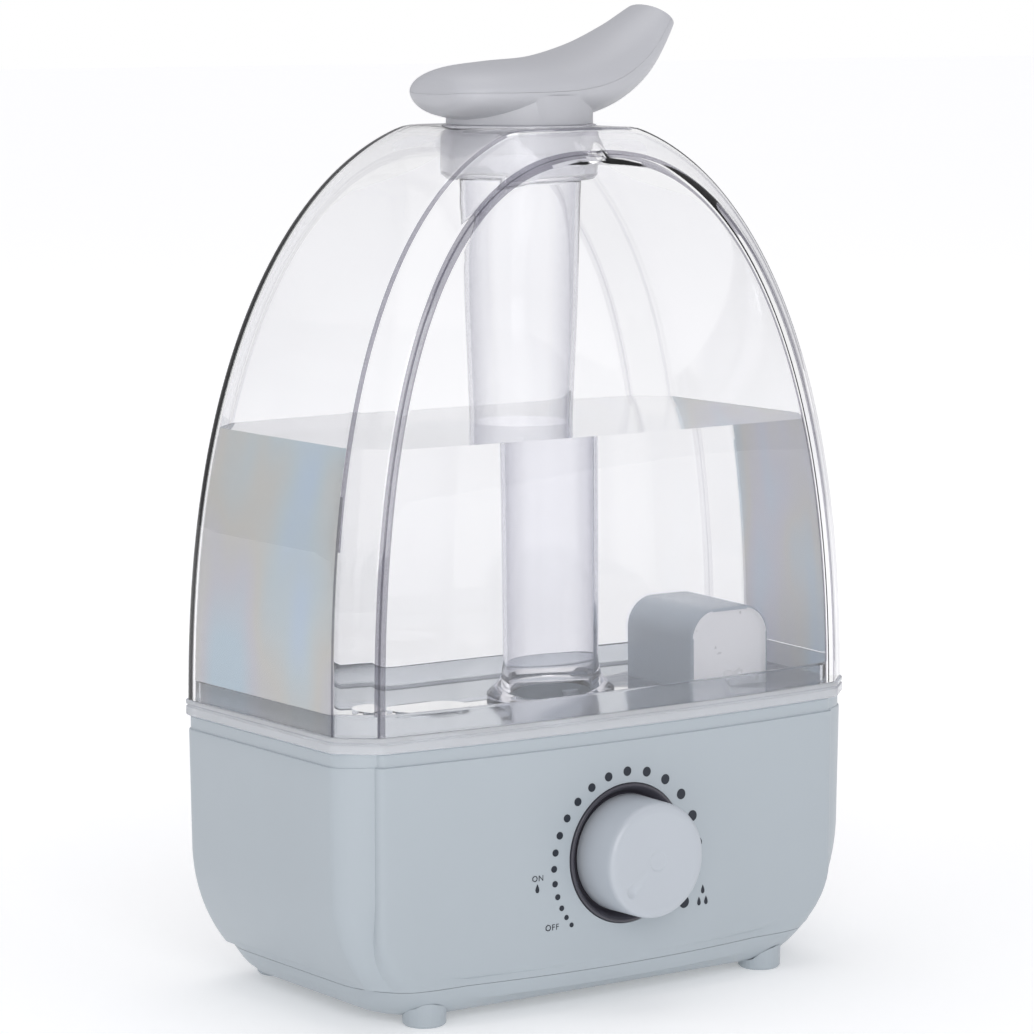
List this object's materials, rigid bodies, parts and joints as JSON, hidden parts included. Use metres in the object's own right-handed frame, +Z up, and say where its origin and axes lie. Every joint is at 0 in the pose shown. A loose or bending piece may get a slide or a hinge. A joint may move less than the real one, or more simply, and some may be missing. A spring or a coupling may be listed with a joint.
{
  "type": "cool mist humidifier",
  "caption": "Tabletop cool mist humidifier: a clear arched water tank lifts off an opaque base with a turning dial, and a swivelling nozzle on top lets out the mist.",
  "frame": {"origin": "middle of the footprint, dial included, on the plane the feet stand on", "axes": "+Z up, -Y towards the front with the dial, +X to the right seen from the front"},
  "size_m": [0.2212, 0.1435, 0.344],
  "materials": {
    "base_shell": "satin moulded grey",
    "clear_plastic": "clear, polished",
    "pale_plastic": "satin moulded off-white",
    "dark_plastic": "moulded dark grey",
    "rubber": "matt",
    "silicone": "translucent silicone",
    "board": "green circuit board",
    "steel": "bright zinc",
    "aluminium": "plain",
    "ceramic": "glazed",
    "wire": "PVC insulation",
    "water": "still water",
    "print": "pad print"
  },
  "bodies": {
    "base": {"base_housing": "base_shell", "water_tray": "base_shell", "bottom_cover": "base_shell", "intake_grille": "base_shell", "foot_front_left": "base_shell", "foot_rear_left": "base_shell", "foot_front_right": "base_shell", "foot_rear_right": "base_shell", "cover_screw_1": "steel", "cover_screw_2": "steel", "cover_screw_3": "steel", "cover_screw_4": "steel", "dial_bezel": "dark_plastic", "dial_switch": "steel", "transducer_seal": "silicone", "transducer_disc": "ceramic", "transducer_clamp": "aluminium", "clamp_screw_1": "steel", "clamp_screw_2": "steel", "clamp_screw_3": "steel", "driver_board": "board", "driver_heat_sink": "aluminium", "power_board": "board", "transformer": "steel", "cord_gland": "rubber", "transducer_lead": "wire", "dial_lead": "wire", "fan_lead": "wire", "fan_frame": "dark_plastic", "air_duct": "pale_plastic", "float_post": "pale_plastic", "valve_pin": "pale_plastic"},
    "dial": {"control_knob": "pale_plastic", "dial_shaft": "steel"},
    "fan": {"fan_rotor": "dark_plastic"},
    "float": {"float_ring": "silicone", "float_magnet": "steel"},
    "tank": {"tank_shell": "clear_plastic", "tank_floor": "clear_plastic", "filler_neck": "clear_plastic", "tower_recess": "clear_plastic", "mist_tube": "clear_plastic", "tank_collar": "clear_plastic"},
    "cap": {"tank_cap": "pale_plastic", "cap_seal": "silicone", "valve_spring": "steel"},
    "valve": {"valve_plunger": "pale_plastic", "valve_seal": "silicone"},
    "nozzle_seat": {"nozzle_ring": "pale_plastic"},
    "nozzle": {"nozzle_body": "pale_plastic", "nozzle_cover": "pale_plastic"}
  },
  "joints": [
    {"name": "dial_turn", "type": "hinge", "parent": "base", "child": "dial", "pos_m": [0.0015, -0.0543, 0.053], "axis": [0, 1, 0], "range_deg": [0, 256]},
    {"name": "fan_spin", "type": "hinge", "parent": "base", "child": "fan", "pos_m": [0.0635, 0.008, 0.033], "axis": [0, 0, 1], "continuous": true},
    {"name": "float_rise", "type": "slide", "parent": "base", "child": "float", "axis": [0, 0, 1], "range_m": [0, 0.0068]},
    {"name": "tank_lift", "type": "slide", "parent": "base", "child": "tank", "axis": [0, 0, 1], "range_m": [0, 0.12]},
    {"name": "cap_turn", "type": "hinge", "parent": "tank", "child": "cap", "pos_m": [-0.05, 0.008, 0.09], "axis": [0, 0, 1], "range_deg": [0, 75]},
    {"name": "valve_lift", "type": "slide", "parent": "cap", "child": "valve", "axis": [0, 0, 1], "range_m": [0, 0.0015], "stiffness_N_per_m": 60, "springref_m": -0.008, "deforming": ["valve_spring"]},
    {"name": "nozzle_lift", "type": "slide", "parent": "tank", "child": "nozzle_seat", "axis": [0, 0, 1], "range_m": [0, 0.03]},
    {"name": "nozzle_turn", "type": "hinge", "parent": "nozzle_seat", "child": "nozzle", "pos_m": [0, 0.008, 0.3], "axis": [0, 0, 1], "continuous": true}
  ]
}
